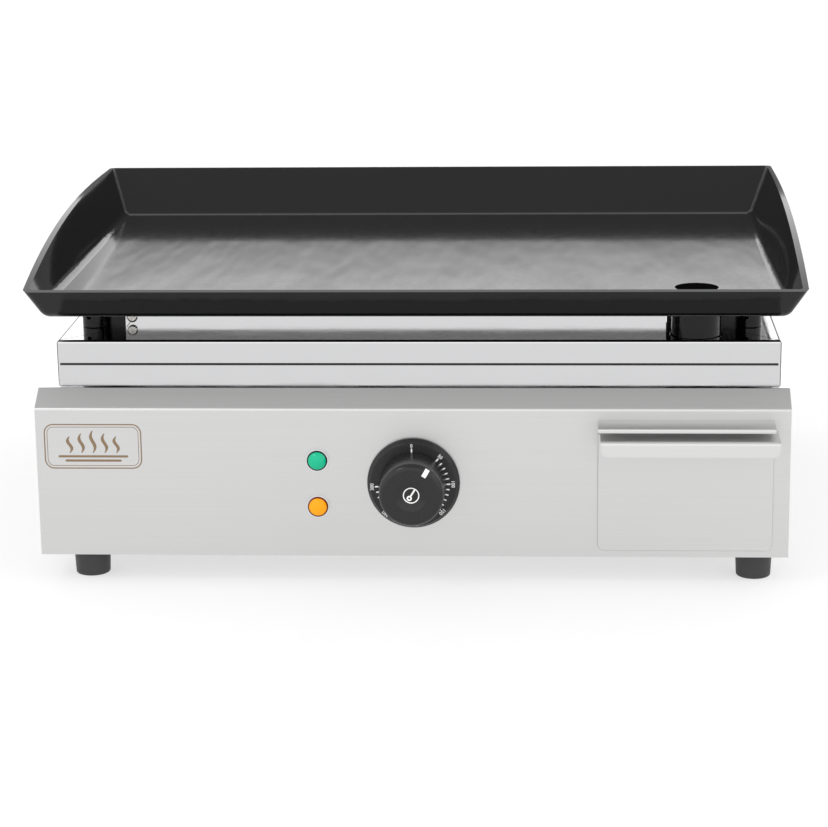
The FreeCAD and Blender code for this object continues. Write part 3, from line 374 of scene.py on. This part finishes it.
# ---------------------------------------------------------------- finishes of the model's nodes
def slot_finishes():
    """One material for each finish slot in the record."""
    return {
        "satin_steel": satin_steel("satin_steel_front", FRONT_GRAIN),
        "polished_steel": polished_steel("polished_steel"),
        "black_cast_iron": pan_coating(),
        "black_enamel": gloss_enamel(),
        "zinc_steel": plated_steel(),
        "element_sheath": heat_tinted_sheath(),
        "ceramic_fibre": pressed_fibre(),
        "rubber": moulded_rubber(),
        "knob_black": knob_plastic(),
        "bezel_black": moulded_plastic("bezel_plastic", (0.012, 0.012, 0.0125), 0.26, 0.00002, IOR=1.4),
        "switch_body": moulded_plastic("phenolic", (0.72, 0.69, 0.60), 0.45, 0.00003),
        "copper": drawn_copper(),
        "green_lens": lamp_glass("green_lamp_lens", (0.008, 0.44, 0.235), (0.001, 0.010, 0.008), 0.06),
        "orange_lens": lamp_glass("orange_lamp_lens", (0.90, 0.34, 0.002), (0.16, 0.010, 0.003), 0.10),
        "lamp_rim": polished_steel("lamp_rim_plating", (0.66, 0.66, 0.66), 0.12),
        "reset_red": moulded_plastic("reset_plastic", (0.55, 0.025, 0.018), 0.3, 0.00002),
        "porcelain": glazed_porcelain(),
        "brass": turned_brass(),
        "gland_nylon": moulded_plastic("gland_nylon", (0.035, 0.035, 0.037), 0.45, 0.00005),
        "silicone_lead": silicone_insulation(),
    }


def dress(node, material):
    """Gives a node's object one material all over."""
    slots = frame["nodes"][node].material_slots
    for slot in slots:
        slot.material = material
    if not slots:
        frame["nodes"][node].data.materials.append(material)


def dress_model():
    finishes = slot_finishes()
    for subpart in frame["record"]["subparts"]:
        dress(subpart["node"], finishes[subpart["material_slot"]])
    side_grain = satin_steel("satin_steel_side", ALONG_Y)
    for node in ("left_side_panel", "right_side_panel", "drawer_runners"):
        dress(node, side_grain)
    long_grain = satin_steel("satin_steel_sheet", ALONG_X)
    for node in ("base_plate", "rear_panel", "drawer_tray"):
        dress(node, long_grain)
    # a lighter, rougher copy of the front's satin steel; its lighter colour is painted light on the pull
    # and its hood
    lit_pull_finish = satin_steel("satin_steel_pull_painted_light", FRONT_GRAIN, (0.64, 0.64, 0.635), 0.40)
    for node in ("drawer_handle", "drawer_hood"):
        dress(node, lit_pull_finish)


# ---------------------------------------------------------------- pieces
PRINT_THICK = 0.06 * MM


def piece(name, build, material, body="root"):
    """Turns a bmesh, filled in by build, into a piece that rides on a body."""
    mesh = bpy.data.meshes.new(name)
    shape = bmesh.new()
    build(shape)
    bmesh.ops.recalc_face_normals(shape, faces=shape.faces)
    shape.to_mesh(mesh)
    shape.free()
    mesh.materials.append(material)
    thing = bpy.data.objects.new(name, mesh)
    bpy.context.scene.collection.objects.link(thing)
    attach(thing, body)
    return thing


def flat(y):
    """Surface at one Y."""
    return lambda x, z: y


def plate(shape, outline, face, hole=None):
    """Thin print on a surface that faces -Y: outline is (x, z) points, face(x, z) is the surface's Y."""
    def loop(points, lift):
        return [shape.verts.new((x, face(x, z) + lift, z)) for x, z in points]

    rings = [(loop(outline, -PRINT_THICK), loop(outline, PRINT_THICK))]
    if hole:
        rings.append((loop(hole, -PRINT_THICK), loop(hole, PRINT_THICK)))
    for near, far in rings:
        for i in range(len(near)):
            j = (i + 1) % len(near)
            shape.faces.new((near[i], near[j], far[j], far[i]))
    if hole:
        (near, far), (near_hole, far_hole) = rings
        for outer, inner in ((near, near_hole), (far, far_hole)):
            for i in range(len(outer)):
                j = (i + 1) % len(outer)
                shape.faces.new((outer[i], outer[j], inner[j], inner[i]))
    else:
        for ring in rings[0]:
            shape.faces.new(ring)


def clock(centre, radius, degrees):
    """Point (x, z) at an angle clockwise from the top, as seen from the front."""
    turn = math.radians(degrees)
    return centre[0] + radius * math.sin(turn), centre[1] + radius * math.cos(turn)


def ring_points(centre, radius, steps=64):
    return [(centre[0] + radius * math.cos(math.tau * i / steps),
             centre[1] + radius * math.sin(math.tau * i / steps)) for i in range(steps)]


def panel_outline(centre, wide, high, corner, steps=8):
    """Rectangle with rounded corners."""
    points = []
    for i, (side, rise) in enumerate(((1, 1), (-1, 1), (-1, -1), (1, -1))):
        middle_x = centre[0] + side * (wide / 2 - corner)
        middle_z = centre[1] + rise * (high / 2 - corner)
        for step in range(steps + 1):
            turn = math.pi / 2 * (i + step / steps)
            points.append((middle_x + corner * math.cos(turn), middle_z + corner * math.sin(turn)))
    return points


def capsule(start, end, width, steps=8):
    """Outline of a round-ended stroke between two (x, z) points."""
    heading = math.atan2(end[1] - start[1], end[0] - start[0])
    points = []
    for centre, first in ((end, heading - math.pi / 2), (start, heading + math.pi / 2)):
        for i in range(steps + 1):
            turn = first + math.pi * i / steps
            points.append((centre[0] + width / 2 * math.cos(turn), centre[1] + width / 2 * math.sin(turn)))
    return points


def numeral(text, place, height, degrees, y):
    """Flat mesh of a number on a vertical surface, its foot towards the dial's middle."""
    curve = bpy.data.curves.new("numeral", "FONT")
    curve.body = text
    curve.size = height
    curve.align_x = "CENTER"
    curve.align_y = "CENTER"
    curve.extrude = PRINT_THICK / 2
    curve.offset = height * 0.012
    thing = bpy.data.objects.new("numeral", curve)
    bpy.context.scene.collection.objects.link(thing)
    turn = Matrix.Rotation(math.radians(degrees), 4, "Y") @ Matrix.Rotation(math.pi / 2, 4, "X")
    thing.matrix_world = Matrix.Translation((place[0], y, place[1])) @ turn
    bpy.context.view_layer.update()
    mesh = bpy.data.meshes.new_from_object(thing)
    mesh.transform(thing.matrix_world)
    bpy.data.objects.remove(thing)
    return mesh


SCALE_RADIUS = BEZEL_RADIUS * 0.768
NUMERAL_RADIUS = BEZEL_RADIUS * 0.872
SCALE_ZERO = -1.0
SCALE_START = 43.5
SCALE_STEP = 8.95
SCALE_NUMBERS = (50, 100, 150, 200, 250, 300)
DEGREES_PER_TICK = 10
TICK_INSET = 0.7 * MM           # the ticks start this far inside the scale's radius
LONG_TICK = (1.9 * MM, 1.1 * MM)        # length and width
SHORT_TICK = (1.5 * MM, 1.0 * MM)
NUMERAL_HEIGHT = 3.6 * MM
SCALE_SHIFT = (-0.5 * MM, -0.4 * MM)    # the scale is printed slightly off the dial's middle


def dial_scale(ink):
    """The printed temperature scale: a tick every 10 degrees and a number every 50."""
    centre = (DIAL.x + SCALE_SHIFT[0], DIAL.z + SCALE_SHIFT[1])
    face = BEZEL_LOW.y
    ticks = [(SCALE_ZERO, True)]
    for i in range((SCALE_NUMBERS[-1] - SCALE_NUMBERS[0]) // DEGREES_PER_TICK + 1):
        ticks.append((SCALE_START + i * SCALE_STEP, i * DEGREES_PER_TICK % 50 == 0))

    def build(shape):
        for degrees, long_tick in ticks:
            reach, width = LONG_TICK if long_tick else SHORT_TICK
            start = clock(centre, SCALE_RADIUS - TICK_INSET, degrees)
            end = clock(centre, SCALE_RADIUS - TICK_INSET + reach, degrees)
            plate(shape, capsule(start, end, width), flat(face))
        labels = [("0", SCALE_ZERO)]
        for number in SCALE_NUMBERS:
            labels.append((str(number), SCALE_START + (number - 50) / DEGREES_PER_TICK * SCALE_STEP))
        for text, degrees in labels:
            mesh = numeral(text, clock(centre, NUMERAL_RADIUS, degrees), NUMERAL_HEIGHT, degrees, face)
            shape.from_mesh(mesh)

    return piece("dial_scale", build, ink)


SYMBOL_RADIUS = 5.9 * MM
SYMBOL_LINE = 0.75 * MM
BULB_RADIUS = 1.9 * MM
BULB_BORE = 0.75 * MM
STEM_WIDTH = 1.2 * MM
DISH_RADIUS = 11.5 * MM
DISH_DEPTH = 2.4 * MM
DISH_BALL = (DISH_RADIUS ** 2 + DISH_DEPTH ** 2) / (2 * DISH_DEPTH)


def dish_face(x, z):
    """Y of the hollow in the knob's front."""
    out = math.hypot(x - KNOB.x, z - KNOB.z)
    return KNOB_LOW.y + DISH_DEPTH - (DISH_BALL - math.sqrt(DISH_BALL ** 2 - out ** 2))


def knob_symbol(ink):
    """Thermometer sign in a ring, printed in the bottom of the knob's dish."""
    centre = (KNOB.x, KNOB.z)
    bulb = clock(centre, 2.6 * MM, POINTER_TURN + 180)
    neck = clock(centre, 0.9 * MM, POINTER_TURN + 180)
    tip = clock(centre, 4.6 * MM, POINTER_TURN)

    def build(shape):
        ring_hole = ring_points(centre, SYMBOL_RADIUS - SYMBOL_LINE)
        plate(shape, ring_points(centre, SYMBOL_RADIUS), dish_face, ring_hole)
        plate(shape, ring_points(bulb, BULB_RADIUS, 32), dish_face, ring_points(bulb, BULB_BORE, 32))
        plate(shape, capsule(neck, tip, STEM_WIDTH), dish_face)

    return piece("knob_symbol", build, ink, "knob")


EMBLEM_ACROSS = 72 * MM
EMBLEM_HIGH = 34 * MM
EMBLEM_CORNER = 7 * MM
EMBLEM_PLACE = (42 * MM, 39.5 * MM)     # its middle, from the panel's left and top edges
EMBLEM_FRAMES = ((0.0, 0.9 * MM), (2.2 * MM, 0.45 * MM))        # inset and line width
PLATE_DROP = 7.6 * MM
PLATE_LINES = ((0.0, 50 * MM), (-3.2 * MM, 40 * MM))            # height and width
PLATE_THICK = 1.7 * MM
WAVE_PITCH = 8.6 * MM
WAVE_RISE = 2.6 * MM
WAVE_HEIGHT = 17.0 * MM
WAVE_FALL = 2.2 * MM            # each wave is this much shorter than its inner neighbour
WAVE_SWING = 1.5 * MM
WAVE_WIDTH = 2.8 * MM


def wave_outline(x, z, height, swing, width, steps=24):
    """Outline of an upright heat wave that tapers to both ends."""
    left, right = [], []
    for i in range(steps + 1):
        part = i / steps
        bend = swing * math.sin(math.tau * part)
        half = width / 2 * (0.25 + 0.75 * math.sin(math.pi * part))
        left.append((x + bend - half, z + height * part))
        right.append((x + bend + half, z + height * part))
    return left + right[::-1]


def panel_emblem(bronze):
    """Generic etched mark: heat waves over a griddle plate, in a rounded frame."""
    centre = (PANEL_LOW.x + EMBLEM_PLACE[0], PANEL_HIGH.z - EMBLEM_PLACE[1])
    panel = flat(PANEL_LOW.y)

    def build(shape):
        for inset, line in EMBLEM_FRAMES:
            outer, inner = [panel_outline(centre, EMBLEM_ACROSS - 2 * cut, EMBLEM_HIGH - 2 * cut,
                                          EMBLEM_CORNER - cut) for cut in (inset, inset + line)]
            plate(shape, outer, panel, inner)
        plate_z = centre[1] - PLATE_DROP
        for low, wide in PLATE_LINES:
            left, right = [(centre[0] + side * wide / 2, plate_z + low) for side in (-1, 1)]
            plate(shape, capsule(left, right, PLATE_THICK), panel)
        for i in range(-2, 3):
            wave = wave_outline(centre[0] + i * WAVE_PITCH, plate_z + WAVE_RISE,
                                WAVE_HEIGHT - WAVE_FALL * abs(i), WAVE_SWING, WAVE_WIDTH)
            plate(shape, wave, panel)

    return piece("panel_emblem", build, bronze)


# size of the dark strip of painted shade at the plinth's foot
SHADE_STRIP = 0.9 * MM


def plinth_bead(shade_colour):
    """Thin dark strip along the plinth's foot, on the ledge: painted shade in the crease where the plinth
    meets the ledge.
    """
    low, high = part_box("plinth_front")
    x = (low.x + 1.5 * MM, high.x - 1.5 * MM)

    def build(shape):
        profile = [(low.y - SHADE_STRIP, low.z), (low.y - SHADE_STRIP * 0.85, low.z + SHADE_STRIP * 0.5),
                   (low.y - SHADE_STRIP * 0.45, low.z + SHADE_STRIP * 0.9), (low.y, low.z + SHADE_STRIP), (low.y, low.z)]
        sections = [[shape.verts.new((end, y, z)) for y, z in profile] for end in x]
        for i in range(len(profile)):
            j = (i + 1) % len(profile)
            shape.faces.new((sections[0][i], sections[0][j], sections[1][j], sections[1][i]))
        for section in sections:
            shape.faces.new(section)

    return piece("plinth_bead", build, shade_colour)


# ---------------------------------------------------------------- stage, light and camera
FLOOR_GLOW = 0.56


def studio_floor():
    """Plain pale floor, wide enough to fill the view."""
    mesh = bpy.data.meshes.new("studio_floor")
    shape = bmesh.new()
    bmesh.ops.create_circle(shape, cap_ends=True, segments=64, radius=14.0)
    shape.to_mesh(mesh)
    shape.free()
    finish = Finish("studio_paper", (0.40, 0.40, 0.40), 0.0, 0.9)
    fibres = finish.noise(60.0)
    finish.vary(fibres, 0.004)
    finish.set("Emission Color", (1.0, 1.0, 1.0, 1.0))
    finish.set("Emission Strength", FLOOR_GLOW)
    mesh.materials.append(finish.material)
    floor = bpy.data.objects.new("studio_floor", mesh)
    bpy.context.scene.collection.objects.link(floor)


FRONT_LIGHT = 1.50              # the room's walls in front of the griddle and behind it
REAR_LIGHT = 1.70
ZENITH_LIGHT = 0.66
SKIRTING_LIGHT = 0.22           # the rear wall's lowest part
SKIRTING_TOP = (0.184, 0.204)   # sines of the elevations between which it fades out


def studio_world():
    """Soft white room: bright walls, a dimmer ceiling and a dark strip low on the rear wall."""
    world = bpy.data.worlds.new("studio")
    world.use_nodes = True
    nodes, links = world.node_tree.nodes, world.node_tree.links
    place = nodes.new("ShaderNodeTexCoord")
    split = nodes.new("ShaderNodeSeparateXYZ")
    links.new(place.outputs["Generated"], split.inputs["Vector"])

    def ramp(source, start, stop, low, high):
        """Smooth change from low to high; low and high are numbers or sockets."""
        node = nodes.new("ShaderNodeMapRange")
        node.interpolation_type = "SMOOTHSTEP"
        for socket, value in (("From Min", start), ("From Max", stop), ("To Min", low), ("To Max", high)):
            if isinstance(value, float):
                node.inputs[socket].default_value = value
            else:
                links.new(value, node.inputs[socket])
        links.new(source, node.inputs["Value"])
        return node.outputs["Result"]

    height, behind = split.outputs["Z"], split.outputs["Y"]
    walls = ramp(behind, -0.3, 0.5, FRONT_LIGHT, REAR_LIGHT)
    room = ramp(height, 0.45, 0.95, walls, ZENITH_LIGHT)
    foot = ramp(behind, 0.1, 0.5, FRONT_LIGHT, SKIRTING_LIGHT)
    light = ramp(height, *SKIRTING_TOP, foot, room)
    links.new(light, nodes["Background"].inputs["Strength"])
    nodes["Background"].inputs["Color"].default_value = (1.0, 1.0, 1.0, 1.0)
    bpy.context.scene.world = world


LIGHT_AIM = (0.0, 0.0, 0.1)


def soft_light(name, place, aim, size, power):
    """Square area light that looks at a point."""
    lamp = bpy.data.lights.new(name, "AREA")
    lamp.shape = "SQUARE"
    lamp.size = size
    lamp.energy = power
    thing = bpy.data.objects.new(name, lamp)
    thing.location = place
    thing.rotation_euler = (Vector(aim) - Vector(place)).to_track_quat("-Z", "Y").to_euler()
    bpy.context.scene.collection.objects.link(thing)


CAMERA_PLACE = Vector((105.44, -2009.21, 597.73)) * MM
CAMERA_PITCH = 0.25539
CAMERA_YAW = -0.0573
CAMERA_ROLL = -0.01296
CAMERA_LENS = 110.96
SENSOR = 36.0


def studio_camera():
    """Camera at standing height, a little right of the middle, looking down at the griddle."""
    ahead = Vector((math.sin(CAMERA_YAW) * math.cos(CAMERA_PITCH),
                    math.cos(CAMERA_YAW) * math.cos(CAMERA_PITCH),
                    -math.sin(CAMERA_PITCH)))
    level = Vector((math.cos(CAMERA_YAW), -math.sin(CAMERA_YAW), 0.0))
    upright = level.cross(ahead)
    right = math.cos(CAMERA_ROLL) * level + math.sin(CAMERA_ROLL) * upright
    up = -math.sin(CAMERA_ROLL) * level + math.cos(CAMERA_ROLL) * upright
    camera = bpy.data.cameras.new("studio_camera")
    camera.lens = CAMERA_LENS
    camera.sensor_width = SENSOR
    camera.clip_end = 60.0
    thing = bpy.data.objects.new("studio_camera", camera)
    turn = Matrix((right, up, -ahead)).transposed().to_4x4()
    thing.matrix_world = Matrix.Translation(CAMERA_PLACE) @ turn
    bpy.context.scene.collection.objects.link(thing)
    bpy.context.scene.camera = thing


# ---------------------------------------------------------------- the scene
dress_model()
white_ink = printed_white()
dial_scale(white_ink)
knob_symbol(white_ink)
panel_emblem(etched_bronze())
# thin dark strip of painted shade along the plinth's foot
plinth_bead(moulded_rubber("painted_shade_strip", (0.012, 0.012, 0.012)))
studio_floor()
studio_world()
soft_light("key_light", (-1.1, -1.4, 1.9), LIGHT_AIM, 0.45, 6.0)
soft_light("fill_light", (1.6, -0.9, 1.5), LIGHT_AIM, 1.4, 3.0)
studio_camera()
bpy.context.scene.view_settings.view_transform = "Standard"
